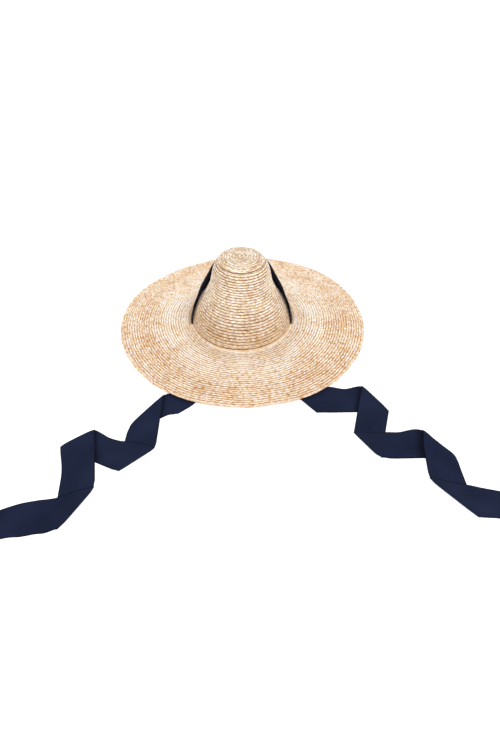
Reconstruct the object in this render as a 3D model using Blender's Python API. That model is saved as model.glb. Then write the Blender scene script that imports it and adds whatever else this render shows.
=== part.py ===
"""A wide-brimmed straw sun hat with a tall bell-shaped crown and a long ribbon.

The hat rests on its rim. One ribbon goes round the back of the crown's neck, down through
a slot on each side, under the brim, and lies in front of the hat in zigzag folds.

Metres, +Z up, the hat's front towards -Y. The origin is on the floor, in the middle of
everything that the hat and its ribbon cover. Left and right are as seen from the front.
Azimuths are seen from the hat's own axis: 0 degrees is the right (+X), 90 degrees the back.
"""

import math

import bmesh
import bpy
from mathutils import Vector

# Straw
STRAW_THICKNESS = 0.0020
BRIM_RADIUS = 0.215
BRIM_RISE = 0.0150
FOOT_RADIUS = 0.0050
CROWN_HALF_WIDTH = 0.0855
CROWN_HALF_DEPTH = 0.0940
CROWN_HEIGHT = 0.1217
CROWN_TO_LEFT = 0.0012
RIM_WAVE = 0.0035

# Ribbon
RIBBON_WIDTH = 0.0510
RIBBON_THICKNESS = 0.0010
TIE_STRIP = 0.1000
NECK_STAND_OFF = 0.0120

# Clearances
SEWN_GAP = 0.0003
LAY_GAP = 0.0003
SLOT_PLAY = math.radians(2.0)
DROP_RUN = 0.0110

# The rim's height over a tie's first fold, as a share of the folded ribbon's own height
RIM_OVER_FOLD = 1.3
# Half the length of rim that stays up over a fold, as a share of RIBBON_WIDTH
RIM_RISE_HALF = 0.8
# Where a strip starts to climb on to the strip below it, and how far it climbs for, as shares of
# RIBBON_WIDTH
CLIMB_MARGIN = 0.15
CLIMB_RUN = 0.30

# How finely the faces are cut
CROWN_COLUMNS = 60
CROWN_ROWS = 16
SIDE_CUTS = 240
BRIM_COLUMNS = 80
FOOT_STEPS = 3
RIBBON_LANES = 4
NECK_ROWS = 44
DROP_STEPS = 5
FOLD_STEPS = 4
# The distance between a tie's cross-sections, as a share of RIBBON_WIDTH
ROW_SPACING = 0.25

# The crown's side from its foot to its tip: (place, radius as a share of CROWN_HALF_WIDTH,
# height as a share of CROWN_HEIGHT)
CROWN_SIDE = (
    ("foot", 1.000, 0.000),
    ("wall", 0.958, 0.081),
    ("bell", 0.880, 0.210),
    ("flare", 0.766, 0.340),
    ("under the neck", 0.680, 0.461),
    ("neck", 0.622, 0.562),
    ("above the neck", 0.588, 0.677),
    ("cap", 0.556, 0.791),
    ("shoulder", 0.508, 0.882),
    ("ring", 0.450, 0.940),
    ("edge of the tip", 0.385, 0.970),
    ("dome", 0.305, 0.988),
    ("tip", 0.190, 0.998),
    ("middle", 0.000, 1.000),
)
# The crown is oval at its foot and round from this share of its height up
ROUND_FROM = 0.524

# The brim from beside its foot to its rim: (share of its width, height as a share of BRIM_RISE)
BRIM_SIDE = (
    (0.15, 0.985),
    (0.36, 0.90),
    (0.58, 0.64),
    (0.79, 0.33),
    (0.975, 0.00),
    (1.00, 0.00),
)

# Where the rim bulges out or in: (azimuth, half-width in degrees, share of RIM_WAVE)
RIM_BULGES = (
    (42.0, 34.0, 0.69),
    (72.0, 26.0, -1.05),
    (122.0, 42.0, -2.18),
    (165.0, 40.0, -0.31),
    (206.0, 26.0, -0.46),
    (246.0, 26.0, 1.01),
    (300.0, 28.0, 1.45),
)

# The ribbon's upper edge from the right slot to the middle of the back: (azimuth in degrees,
# height as a share of CROWN_HEIGHT, distance off the crown as a share of NECK_STAND_OFF, and
# the turn of the ribbon in degrees: 0 where it climbs, 90 where it runs level)
NECK_ROUTE = (
    (-10.0, 0.000, 0.10, 0.0),
    (-7.6, 0.145, 0.47, 13.0),
    (-2.6, 0.300, 0.82, 27.0),
    (5.5, 0.425, 1.00, 41.0),
    (14.5, 0.518, 0.93, 51.0),
    (26.0, 0.600, 0.80, 60.0),
    (38.0, 0.670, 0.72, 68.0),
    (50.0, 0.722, 0.66, 76.0),
    (68.0, 0.762, 0.56, 84.0),
    (90.0, 0.775, 0.50, 90.0),
)

# Where each tie comes out from under the rim: azimuth in degrees, and distance outside the rim
# as a share of RIBBON_WIDTH
TIE_EMERGES = {"left": (248.2, -0.035), "right": (295.7, 0.14)}
# The strips of each tie after that, fold by fold: (strip, heading in degrees, length as a share
# of TIE_STRIP)
TIE_FOLDS = {
    "left": (
        ("beside the rim", 198.4, 0.735),
        ("to the front", 267.2, 1.035),
        ("outwards", 155.7, 1.015),
        ("to the front again", 280.8, 1.270),
        ("free end", 198.0, 1.970),
    ),
    "right": (
        ("beside the rim", 3.2, 1.170),
        ("to the front", 255.4, 1.060),
        ("outwards", 1.6, 1.065),
        ("to the front again", 269.9, 0.975),
        ("free end", 347.0, 1.200),
    ),
}

# Finishes: base colour, roughness
STRAW_FINISH = ((0.74, 0.56, 0.36), 0.55)
RIBBON_FINISH = ((0.017, 0.023, 0.052), 0.42)


def smoothstep(t):
    """Ease from 0 to 1."""
    t = min(1.0, max(0.0, t))
    return t * t * (3.0 - 2.0 * t)


def read_smooth(rows, t):
    """Read a table of numbers at t, from 0 at its first row to 1 at its last, on a smooth curve."""
    place = min(max(t, 0.0), 1.0) * (len(rows) - 1)
    i = min(int(place), len(rows) - 2)
    f = place - i
    before, start = rows[max(i - 1, 0)], rows[i]
    end, after = rows[i + 1], rows[min(i + 2, len(rows) - 1)]
    values = []
    for p0, p1, p2, p3 in zip(before, start, end, after):
        bend = 2 * p0 - 5 * p1 + 4 * p2 - p3
        twist = 3 * (p1 - p2) + p3 - p0
        values.append(p1 + 0.5 * f * ((p2 - p0) + f * (bend + f * twist)))
    return values


def angle_between(a, b):
    """How far azimuth a is from azimuth b, in radians."""
    return abs((a - b + math.pi) % (2 * math.pi) - math.pi)


def bump(azimuth, rows):
    """The height of a table of smooth bumps at an azimuth."""
    total = 0.0
    for centre, half_width, share in rows:
        off = angle_between(azimuth, math.radians(centre)) / math.radians(half_width)
        total += share * (1.0 - smoothstep(off))
    return total


# The crown's surface

SIDE_ROWS = [row[1:] for row in CROWN_SIDE]
SIDE_SAMPLES = [read_smooth(SIDE_ROWS, k / SIDE_CUTS) for k in range(SIDE_CUTS + 1)]


def side_radius(height_share):
    """The crown's outer radius, as a share of its half-width, at a share of its height."""
    for (r0, h0), (r1, h1) in zip(SIDE_SAMPLES, SIDE_SAMPLES[1:]):
        if h1 >= height_share:
            f = (height_share - h0) / max(h1 - h0, 1e-9)
            return r0 + (r1 - r0) * max(f, 0.0)
    return 0.0


def crown_point(azimuth, radius, height):
    """A point at a radius and a height above the crown's foot, on the crown's oval."""
    share = height / CROWN_HEIGHT
    deeper = CROWN_HALF_DEPTH / CROWN_HALF_WIDTH - 1.0
    oval = 1.0 + deeper * (1.0 - smoothstep(share / ROUND_FROM))
    x = radius * math.cos(azimuth) - CROWN_TO_LEFT
    y = radius * oval * math.sin(azimuth)
    return Vector((x, y, crown_foot() + height))


def crown_foot():
    """The height of the crown's lower edge above the floor."""
    return BRIM_RISE + FOOT_RADIUS + SEWN_GAP


def crown_rows():
    """The crown's outer and inner rows, from its foot to its tip, evenly spaced along its side."""
    side = [(r * CROWN_HALF_WIDTH, h * CROWN_HEIGHT) for r, h in SIDE_SAMPLES]
    along = [0.0]
    for (r0, h0), (r1, h1) in zip(side, side[1:]):
        along.append(along[-1] + math.hypot(r1 - r0, h1 - h0))
    outer, inner = [], []
    last = len(side) - 1
    for k in range(CROWN_ROWS + 1):
        want = along[-1] * k / CROWN_ROWS
        i = min(range(last + 1), key=lambda j: abs(along[j] - want))
        r, h = side[i]
        r_low, h_low = side[max(i - 1, 0)]
        r_high, h_high = side[min(i + 1, last)]
        run = math.hypot(r_high - r_low, h_high - h_low)
        inward_r = -(h_high - h_low) / run
        inward_h = (r_high - r_low) / run
        if k == 0:
            inward_r, inward_h = -1.0, 0.0
        if k == CROWN_ROWS:
            inward_r, inward_h = 0.0, -1.0
        r_in = max(r + inward_r * STRAW_THICKNESS, 0.0)
        h_in = h + inward_h * STRAW_THICKNESS
        outer.append((r, h))
        inner.append((r_in, h_in))
    azimuths = [2 * math.pi * k / CROWN_COLUMNS for k in range(CROWN_COLUMNS)]
    return (
        [[crown_point(a, r, h) for r, h in outer] for a in azimuths],
        [[crown_point(a, r, h) for r, h in inner] for a in azimuths],
    )


# The ribbon round the neck

def neck_row(t):
    """One cross-section of the ribbon round the neck, upper edge first: t is 0 at the right slot,
    1 at the left slot. Each point comes with its azimuth and its height above the crown's foot."""
    half = 1.0 - abs(2.0 * t - 1.0)
    degrees, height, off, turn = read_smooth(NECK_ROUTE, half)
    azimuth, turn = math.radians(degrees), math.radians(turn)
    height *= CROWN_HEIGHT
    off *= NECK_STAND_OFF
    radius = side_radius(height / CROWN_HEIGHT) * CROWN_HALF_WIDTH + off
    close = 2 * LAY_GAP + RIBBON_THICKNESS / 2
    low_azimuth = azimuth + RIBBON_WIDTH * math.cos(turn) / (radius + off)
    low_height = height - RIBBON_WIDTH * math.sin(turn)
    low_radius = side_radius(low_height / CROWN_HEIGHT) * CROWN_HALF_WIDTH + close
    points = []
    for lane in range(RIBBON_LANES + 1):
        v = lane / RIBBON_LANES
        a = azimuth + (low_azimuth - azimuth) * v
        h = height + (low_height - height) * v
        touching = side_radius(h / CROWN_HEIGHT) * CROWN_HALF_WIDTH + close
        r = max(touching, radius + (low_radius - radius) * v)
        if t > 0.5:
            a = math.pi - a
        points.append(crown_point(a, r, h))
    return points


# The brim

def slot_ends():
    """The azimuths of the right slot's two ends."""
    front = math.radians(NECK_ROUTE[0][0])
    off = NECK_ROUTE[0][2] * NECK_STAND_OFF
    back = front + RIBBON_WIDTH / (CROWN_HALF_WIDTH + 2 * off)
    return front - SLOT_PLAY, back + SLOT_PLAY


def brim_azimuths():
    """The azimuths of the brim's columns, from the front end of the right slot round to itself."""
    front, back = slot_ends()
    ends = [front, back, math.pi - back, math.pi - front, front + 2 * math.pi]
    azimuths = []
    for start, end in zip(ends, ends[1:]):
        count = max(2, round(BRIM_COLUMNS * (end - start) / (2 * math.pi)))
        azimuths += [start + (end - start) * k / count for k in range(count)]
    return azimuths


def in_slot(azimuth):
    """Whether the column of faces that starts at an azimuth lies in a slot."""
    front, back = slot_ends()
    right = front - 1e-6 < azimuth < back - 1e-6
    left = math.pi - back - 1e-6 < azimuth < math.pi - front - 1e-6
    return right or left


def rim_lift(azimuth):
    """The height of the rim's underside above the floor: it rises over each tie's first fold."""
    clear = RIM_OVER_FOLD * (2 * (RIBBON_THICKNESS + LAY_GAP) + LAY_GAP)
    level = RIM_RISE_HALF * RIBBON_WIDTH / BRIM_RADIUS
    lift = 0.0
    for degrees, _ in TIE_EMERGES.values():
        off = angle_between(azimuth, math.radians(degrees))
        lift = max(lift, clear * (1.0 - smoothstep((off - level) / level)))
    return lift


def brim_column(azimuth):
    """The brim's middle line at an azimuth, foot first, as pairs of a point and an upward normal."""
    half = STRAW_THICKNESS / 2
    foot_width = CROWN_HALF_WIDTH - half
    foot_depth = CROWN_HALF_DEPTH - half
    outwards = Vector((math.cos(azimuth), math.sin(azimuth), 0.0))
    column = []
    for k in range(FOOT_STEPS + 1):
        turn = math.pi / 2 * k / FOOT_STEPS
        out = FOOT_RADIUS * (1 - math.cos(turn))
        height = BRIM_RISE + FOOT_RADIUS * (1 - math.sin(turn))
        x = (foot_width + out) * outwards.x - CROWN_TO_LEFT
        y = (foot_depth + out) * outwards.y
        normal = outwards * math.cos(turn) + Vector((0, 0, math.sin(turn)))
        column.append((Vector((x, y, height)), normal))
    start = column[-1][0]
    rim = outwards * (BRIM_RADIUS + RIM_WAVE * bump(azimuth, RIM_BULGES))
    lift = rim_lift(azimuth)
    for share, rise in BRIM_SIDE:
        point = start.lerp(rim, share)
        point.z = half + lift * share ** 2 + (BRIM_RISE - half) * rise
        column.append((point, Vector((0, 0, 1))))
    return column


# The ties

class Strip:
    """One flat strip of a tie, between two folds: it starts at a point and runs along a heading."""

    def __init__(self, start, heading, end, below):
        self.start = start
        self.heading = heading
        self.end = end
        self.below = below
        self.along = Vector((math.cos(heading), math.sin(heading)))
        self.across = Vector((-math.sin(heading), math.cos(heading)))

    def height(self, place):
        """How high the strip's underside is at a place: it climbs over the strip before it."""
        if self.below is None:
            return 0.0
        off = abs((place - self.below.end).dot(self.below.across)) - RIBBON_WIDTH / 2
        over = 1.0 - smoothstep((off / RIBBON_WIDTH - CLIMB_MARGIN) / CLIMB_RUN)
        return over * (self.below.height(place) + RIBBON_THICKNESS + LAY_GAP)


def tie_strips(side):
    """The strips of one tie, from where it reaches the floor under its slot to its free end."""
    sign = 1.0 if side == "right" else -1.0
    row = neck_row(0.0)
    middle_y = (row[0].y + row[-1].y) / 2
    landing = Vector((sign * (CROWN_HALF_WIDTH + DROP_RUN) - CROWN_TO_LEFT, middle_y))
    turning = landing + Vector((sign * (RIBBON_WIDTH / 2 + 2 * RIBBON_THICKNESS), 0.0))
    degrees, outside = TIE_EMERGES[side]
    reach = BRIM_RADIUS + outside * RIBBON_WIDTH
    first = reach * Vector((math.cos(math.radians(degrees)), math.sin(math.radians(degrees))))
    points = [landing, turning, first]
    for _, heading, share in TIE_FOLDS[side]:
        turned = math.radians(heading)
        step = Vector((math.cos(turned), math.sin(turned)))
        points.append(points[-1] + share * TIE_STRIP * step)
    strips = []
    for start, end in zip(points, points[1:]):
        run = end - start
        below = strips[-1] if strips else None
        strips.append(Strip(start, math.atan2(run.y, run.x), end, below))
    return strips


def fold_line(before, after):
    """The direction of the crease between two strips."""
    angle = (before.heading + after.heading) / 2
    return Vector((math.cos(angle), math.sin(angle)))


def crease_ends(strip, place, crease, upper_side):
    """Where a crease through a place meets the ribbon's upper and lower edge."""
    reach = RIBBON_WIDTH / 2 / crease.dot(strip.across) * upper_side
    return place + reach * crease, place - reach * crease


def tie_rows(side):
    """A tie's cross-sections from its slot to its free end: pairs of lists of points and normals."""
    strips = tie_strips(side)
    upper_side = -1.0 if side == "right" else 1.0
    up = Vector((0.0, 0.0, 1.0))
    rows = []
    crease = strips[0].across
    for number, strip in enumerate(strips):
        near = crease_ends(strip, strip.start, crease, upper_side)
        last = number == len(strips) - 1
        crease = strip.across if last else fold_line(strip, strips[number + 1])
        far = crease_ends(strip, strip.end, crease, upper_side)
        length = (strip.end - strip.start).length
        count = max(3, math.ceil(length / (RIBBON_WIDTH * ROW_SPACING)))
        for k in range(count + 1):
            edges = [a.lerp(b, k / count) for a, b in zip(near, far)]
            points = []
            for lane in range(RIBBON_LANES + 1):
                place = edges[0].lerp(edges[1], lane / RIBBON_LANES)
                height = strip.height(place) + RIBBON_THICKNESS / 2
                points.append(Vector((place.x, place.y, height)))
            rows.append((points, [up] * len(points)))
        if last:
            break
        rows += fold_rows(rows[-1][0], strip, crease, up)
        up = -up
        upper_side = -upper_side
    return rows


def fold_rows(edge, strip, crease, up):
    """The half turn of a fold, from the strip below to the one that lies on it."""
    out = Vector((-crease.y, crease.x))
    if out.dot(strip.along) < 0:
        out = -out
    out = Vector((out.x, out.y, 0.0))
    radius = (RIBBON_THICKNESS + LAY_GAP) / 2
    rows = []
    for k in range(1, FOLD_STEPS):
        turn = math.pi * k / FOLD_STEPS
        away = out * math.sin(turn) - Vector((0, 0, math.cos(turn)))
        points = [point + Vector((0, 0, radius)) + away * radius for point in edge]
        rows.append((points, [-away * up.z] * len(points)))
    return rows


def drop_rows(side, floor_row):
    """The ribbon from its slot down to its first row on the floor, without either end."""
    top = neck_row(0.0 if side == "right" else 1.0)
    rows = []
    for k in range(1, DROP_STEPS):
        turn = math.pi / 2 * k / DROP_STEPS
        points = []
        for high, low in zip(top, floor_row):
            point = high.lerp(low, 1 - math.cos(turn))
            point.z = low.z + (high.z - low.z) * (1 - math.sin(turn))
            points.append(point)
        rows.append(points)
    return rows


def ribbon_rows():
    """The whole ribbon, from the left tie's free end to the right tie's: points and normals."""
    left, right = tie_rows("left"), tie_rows("right")
    raised = [left[0][0]]
    raised += reversed(drop_rows("left", left[0][0]))
    raised += [neck_row(1 - k / NECK_ROWS) for k in range(NECK_ROWS + 1)]
    raised += drop_rows("right", right[0][0])
    raised.append(right[0][0])
    rows = list(reversed(left))
    for before, row, after in zip(raised, raised[1:], raised[2:]):
        normals = []
        for lane in range(RIBBON_LANES + 1):
            along = after[lane] - before[lane]
            across = row[min(lane + 1, RIBBON_LANES)] - row[max(lane - 1, 0)]
            normals.append(along.cross(across).normalized())
        rows.append((row, normals))
    return rows + right


# Objects

def plain_finish(name, finish):
    """A plain finish."""
    colour, roughness = finish
    material = bpy.data.materials.new(name)
    material.use_nodes = True
    shader = material.node_tree.nodes["Principled BSDF"]
    shader.inputs["Base Color"].default_value = (*colour, 1.0)
    shader.inputs["Roughness"].default_value = roughness
    shader.inputs["Metallic"].default_value = 0.0
    return material


def sheet_solid(name, outer, inner, material, ring=False, left_out=lambda i, j: False):
    """A closed wall between two grids of points, outer[i][j] and inner[i][j]. A ring joins its
    last column to its first, and left_out names the cells that are cut away."""
    columns, rows = len(outer), len(outer[0])
    cells = {
        (i, j)
        for i in range(columns if ring else columns - 1)
        for j in range(rows - 1)
        if not left_out(i, j)
    }
    bm = bmesh.new()
    made = {}

    def vertex(grid, i, j):
        key = (grid is outer, i % columns, j)
        if key not in made:
            made[key] = bm.verts.new(grid[i % columns][j])
        return made[key]

    for i, j in sorted(cells):
        corners = [(i, j), (i + 1, j), (i + 1, j + 1), (i, j + 1)]
        bm.faces.new([vertex(outer, *corner) for corner in corners])
        bm.faces.new([vertex(inner, *corner) for corner in reversed(corners)])
        beyond = [(i, j - 1), (i + 1, j), (i, j + 1), (i - 1, j)]
        for side, (next_i, next_j) in enumerate(beyond):
            if ring:
                next_i %= columns
            if (next_i, next_j) in cells:
                continue
            a, b = corners[side], corners[(side + 1) % 4]
            bm.faces.new([vertex(inner, *a), vertex(inner, *b), vertex(outer, *b), vertex(outer, *a)])
    bmesh.ops.remove_doubles(bm, verts=bm.verts, dist=1e-6)
    bmesh.ops.recalc_face_normals(bm, faces=bm.faces)
    mesh = bpy.data.meshes.new(name)
    bm.to_mesh(mesh)
    bm.free()
    mesh.materials.append(material)
    mesh.shade_smooth()
    mesh.set_sharp_from_angle(angle=math.radians(40))
    node = bpy.data.objects.new(name, mesh)
    bpy.context.collection.objects.link(node)
    return node


def make_crown(straw):
    """The crown: its tip closed, its foot open."""
    outer, inner = crown_rows()
    top = CROWN_ROWS
    return sheet_solid("crown", outer, inner, straw, ring=True, left_out=lambda i, j: j >= top)


def make_brim(straw):
    """The brim, with its turned-up foot cut away along the slots."""
    azimuths = brim_azimuths()
    columns = [brim_column(azimuth) for azimuth in azimuths]
    half = STRAW_THICKNESS / 2
    upper = [[point + half * normal for point, normal in column] for column in columns]
    lower = [[point - half * normal for point, normal in column] for column in columns]

    def slot_cell(i, j):
        return j < FOOT_STEPS and in_slot(azimuths[i])

    return sheet_solid("brim", upper, lower, straw, ring=True, left_out=slot_cell)


def make_ribbon(ribbon):
    """The whole ribbon, both ties and the part round the neck."""
    rows = ribbon_rows()
    half = RIBBON_THICKNESS / 2
    faces = [[[p + s * n for p, n in zip(*row)] for row in rows] for s in (half, -half)]
    return sheet_solid("ribbon", faces[0], faces[1], ribbon)


def main():
    for old in list(bpy.data.objects):
        bpy.data.objects.remove(old, do_unlink=True)
    straw = plain_finish("straw", STRAW_FINISH)
    ribbon = plain_finish("ribbon", RIBBON_FINISH)
    pieces = [make_crown(straw), make_brim(straw), make_ribbon(ribbon)]

    places = [vertex.co for piece in pieces for vertex in piece.data.vertices]
    left, right = min(p.x for p in places), max(p.x for p in places)
    front, back = min(p.y for p in places), max(p.y for p in places)
    axis = bpy.data.objects.new("hat_axis", None)
    axis.location = (-(left + right) / 2, -(front + back) / 2, 0.0)
    bpy.context.collection.objects.link(axis)
    for piece in pieces:
        piece.parent = axis


main()
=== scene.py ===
# %% [markdown]
# # A wide-brimmed straw sun hat
# The real hat is one long plaited straw braid, sewn row beside row from the middle of the tip to
# the rim, and one long navy ribbon that is threaded through two slots at the crown's foot. The
# imported model gives every piece's size and place. Sizes could be typed in again here, but then
# they might drift away from the model. So it is loaded first, and its pieces are kept.

# %% Load the model
import math
from bisect import bisect_right

import bpy
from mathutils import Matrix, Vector, noise


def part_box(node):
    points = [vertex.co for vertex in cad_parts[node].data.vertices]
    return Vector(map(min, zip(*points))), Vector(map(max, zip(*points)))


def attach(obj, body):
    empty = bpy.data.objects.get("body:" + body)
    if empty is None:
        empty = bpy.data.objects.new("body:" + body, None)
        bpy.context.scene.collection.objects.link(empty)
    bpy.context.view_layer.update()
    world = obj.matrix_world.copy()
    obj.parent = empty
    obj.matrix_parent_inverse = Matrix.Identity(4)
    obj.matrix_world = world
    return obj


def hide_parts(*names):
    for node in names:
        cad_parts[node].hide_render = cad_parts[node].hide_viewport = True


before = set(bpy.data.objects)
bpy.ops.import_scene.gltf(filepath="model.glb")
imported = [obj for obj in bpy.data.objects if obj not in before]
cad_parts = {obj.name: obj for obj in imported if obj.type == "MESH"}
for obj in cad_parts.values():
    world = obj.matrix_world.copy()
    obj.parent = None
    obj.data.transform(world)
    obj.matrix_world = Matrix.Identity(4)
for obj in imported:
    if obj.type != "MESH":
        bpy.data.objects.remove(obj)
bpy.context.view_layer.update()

# %% [markdown]
# Every shape below is written round the hat's own upright axis. Each piece could have a place of
# its own, but one axis keeps crown, brim and ribbon together. The crown stands a little to the
# left of it, so the crown's box gives the axis once that small step is added back.

# %% The hat's axis
CROWN_TO_LEFT = 0.0012
crown_low, crown_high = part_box("crown")
crown_middle = (Vector(crown_low) + Vector(crown_high)) / 2
AXIS = Vector((crown_middle.x + CROWN_TO_LEFT, crown_middle.y, 0.0))
print("the hat's axis stands at", tuple(round(v, 4) for v in AXIS))

# %% [markdown]
# ## The blocked shape
# A milliner presses the sewn braid over a wooden block. The block could be sculpted as a mesh, and
# the braid fitted to it with Shrinkwrap. A function is quicker and exact: it takes an azimuth and
# a distance along the hat's surface, and gives a point. A short table holds the crown's side, and
# a smooth curve through its rows fills in the rest.

# %% The crown's side
CROWN_HALF_WIDTH = 0.0855
CROWN_HALF_DEPTH = 0.0940
CROWN_HEIGHT = 0.1217
BRIM_RADIUS = 0.215
BRIM_RISE = 0.0150
FOOT_RADIUS = 0.0050
STRAW_WALL = 0.0020
SEWN_GAP = 0.0003
CROWN_FOOT = BRIM_RISE + FOOT_RADIUS + SEWN_GAP
SIDE_POINTS = 400
MM = 1000  # millimetres in a metre
# (radius as a share of the half-width, height as a share of the crown's height), tip first
CROWN_SIDE = (
    (0.000, 1.000), (0.190, 0.998), (0.305, 0.988), (0.385, 0.970), (0.450, 0.940),
    (0.508, 0.882), (0.556, 0.791), (0.588, 0.677), (0.622, 0.562), (0.680, 0.461),
    (0.766, 0.340), (0.880, 0.210), (0.958, 0.081), (1.000, 0.000),
)


def smoothstep(t):
    """Ease from 0 to 1."""
    t = min(1.0, max(0.0, t))
    return t * t * (3.0 - 2.0 * t)


def read_smooth(rows, t):
    """Read a table at t, from 0 at its first row to 1 at its last, on a Catmull-Rom curve."""
    place = min(max(t, 0.0), 1.0) * (len(rows) - 1)
    i = min(int(place), len(rows) - 2)
    f = place - i
    before, start = rows[max(i - 1, 0)], rows[i]
    end, after = rows[i + 1], rows[min(i + 2, len(rows) - 1)]
    values = []
    for p0, p1, p2, p3 in zip(before, start, end, after):
        bend = 2 * p0 - 5 * p1 + 4 * p2 - p3
        twist = 3 * (p1 - p2) + p3 - p0
        values.append(p1 + 0.5 * f * ((p2 - p0) + f * (bend + f * twist)))
    return values


side = [read_smooth(CROWN_SIDE, k / SIDE_POINTS) for k in range(SIDE_POINTS + 1)]
side = [(r * CROWN_HALF_WIDTH, h * CROWN_HEIGHT) for r, h in side]
side_length = [0.0]
for (r0, h0), (r1, h1) in zip(side, side[1:]):
    side_length.append(side_length[-1] + math.hypot(r1 - r0, h1 - h0))
CROWN_SIDE_LENGTH = side_length[-1]
print("the crown's side is", round(CROWN_SIDE_LENGTH * MM), "mm long from tip to foot")

# %% [markdown]
# The head opening is oval, because a head is longer than it is wide, and the tip is round. The
# Spin tool could make only the round part. So the block turns each radius and height into a ring
# that is oval low down and round higher up, and eases from one to the other.

# %% The crown as a function
# the crown is round from this share of its height up
ROUND_FROM = 0.524


def find(rising, value):
    """Where a value falls in a rising list: the place of the entry before it."""
    return min(max(bisect_right(rising, value), 1), len(rising) - 1) - 1


def on_side(distance):
    """The crown's radius and height at a distance from the middle of its tip."""
    distance = min(max(distance, 0.0), CROWN_SIDE_LENGTH)
    k = find(side_length, distance)
    f = (distance - side_length[k]) / (side_length[k + 1] - side_length[k])
    return [a + (b - a) * f for a, b in zip(side[k], side[k + 1])]


def crown_ring(azimuth, radius, height):
    """A point on the crown's oval ring of a radius, at a height above its foot."""
    deeper = CROWN_HALF_DEPTH / CROWN_HALF_WIDTH - 1.0
    oval = 1.0 + deeper * (1.0 - smoothstep(height / CROWN_HEIGHT / ROUND_FROM))
    y = radius * oval * math.sin(azimuth)
    return Vector((radius * math.cos(azimuth) - CROWN_TO_LEFT, y, CROWN_FOOT + height))


def crown_surface(azimuth, distance):
    """The crown's outside, at a distance along its side from the tip."""
    return crown_ring(azimuth, *on_side(distance))


print("top of the crown:", tuple(round(v, 4) for v in crown_surface(0.0, 0.0)))

# %% [markdown]
# The brim starts in a small hollow fillet at the crown's foot and falls in a soft curve to the
# rim. On each side a few centimetres of its first row are left unsewn: that is the slot for the
# ribbon, and there the fillet is pushed outwards and down. At the front the rim lies over the
# first fold of each tie, and rises a few millimetres to do so. The slots could be cut out with a
# Boolean, but that would chop the braid. Here the surface moves first, and the braid that is laid
# on it goes along.

# %% The brim as a function
# (share of the brim's width, height as a share of its rise), foot first
BRIM_SIDE = (
    (0.0, 1.0), (0.15, 0.985), (0.36, 0.90), (0.58, 0.64), (0.79, 0.33), (0.975, 0.0), (1.0, 0.0),
)
BRIM_EASE = 0.03
# where the rim bulges out or in: (azimuth, half-width in degrees, share of RIM_WAVE)
RIM_BULGES = (
    (42.0, 34.0, 0.69), (72.0, 26.0, -1.05), (122.0, 42.0, -2.18), (165.0, 40.0, -0.31),
    (206.0, 26.0, -0.46), (246.0, 26.0, 1.01), (300.0, 28.0, 1.45),
)
RIM_WAVE = 0.0035
# where the ties come out under the rim, how high it rises there, and for how many degrees
TIE_AZIMUTHS = (248.2, 295.7)
TIE_RISE = 0.0038
TIE_RISE_HALF = 10.9
# the slots' azimuths and half-lengths in degrees, and how far the fillet is pushed out
SLOTS = ((3.6, 15.8), (176.4, 15.8))
SLOT_END = 3.0
SLOT_WIDTH = 0.0040
SLOT_REACH = 0.022
FILLET = FOOT_RADIUS - STRAW_WALL / 2
FILLET_LENGTH = FILLET * math.pi / 2
BRIM_RUN = 0.1235
BRIM_LENGTH = FILLET_LENGTH + BRIM_RUN


def angle_off(azimuth, degrees):
    """How far an azimuth in radians is from one in degrees, in degrees."""
    return abs((math.degrees(azimuth) - degrees + 180.0) % 360.0 - 180.0)


def brim_height(share):
    """The brim's height at a share of its width, as a share of its rise."""
    for (s0, h0), (s1, h1) in zip(BRIM_SIDE, BRIM_SIDE[1:]):
        if share <= s1:
            return h0 + (h1 - h0) * (share - s0) / (s1 - s0)
    return 0.0


def brim_surface(azimuth, distance):
    """The brim's upper face, at a distance from the crown's foot."""
    outwards = Vector((math.cos(azimuth), math.sin(azimuth), 0.0))
    turn = min(distance / FILLET_LENGTH, 1.0) * math.pi / 2
    out = FILLET * (1 - math.cos(turn))
    foot = Vector((
        (CROWN_HALF_WIDTH + out) * outwards.x - CROWN_TO_LEFT,
        (CROWN_HALF_DEPTH + out) * outwards.y,
        BRIM_RISE + STRAW_WALL / 2 + FILLET * (1 - math.sin(turn)),
    ))
    bulge = sum(s * (1 - smoothstep(angle_off(azimuth, c) / w)) for c, w, s in RIM_BULGES)
    rim = outwards * (BRIM_RADIUS + RIM_WAVE * bulge)
    share = max(0.0, distance - FILLET_LENGTH) / (BRIM_LENGTH - FILLET_LENGTH)
    point = foot.lerp(rim, share)
    if share > 0.0:
        nearest = min(angle_off(azimuth, tie) for tie in TIE_AZIMUTHS)
        lift = TIE_RISE * (1 - smoothstep(nearest / TIE_RISE_HALF - 1))
        height = sum(brim_height(share + step) for step in (-BRIM_EASE, 0.0, BRIM_EASE)) / 3
        point.z = STRAW_WALL + lift * share ** 2 + (BRIM_RISE - STRAW_WALL / 2) * height
    opening = max(1 - smoothstep((angle_off(azimuth, c) - w) / SLOT_END) for c, w in SLOTS)
    near = opening * (1 - smoothstep(distance / SLOT_REACH))
    point += outwards * SLOT_WIDTH * near
    point.z = min(point.z, BRIM_RISE + STRAW_WALL / 2 + FILLET * (1 - near))
    return point


print("rim at the right:", tuple(round(v, 4) for v in brim_surface(0.0, BRIM_LENGTH)))

# %% [markdown]
# ## The braid's path
# The sewn braid is a spiral with evenly spaced rows. Separate rings would be simpler, but every
# ring would need a joint, and the real rows run on from one to the next. The path walks round the
# block in small steps, and its distance grows evenly. Its first and last turns stay level, so that
# the braid ends in a clean ring at the rim and at the crown's foot. Hands guide the braid through
# the sewing machine, so each row also wanders by a fraction of a millimetre.

# %% Walk the spiral
CROWN_ROW = 0.00465
BRIM_ROW = 0.00435
STEPS_PER_TURN = 120
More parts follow.
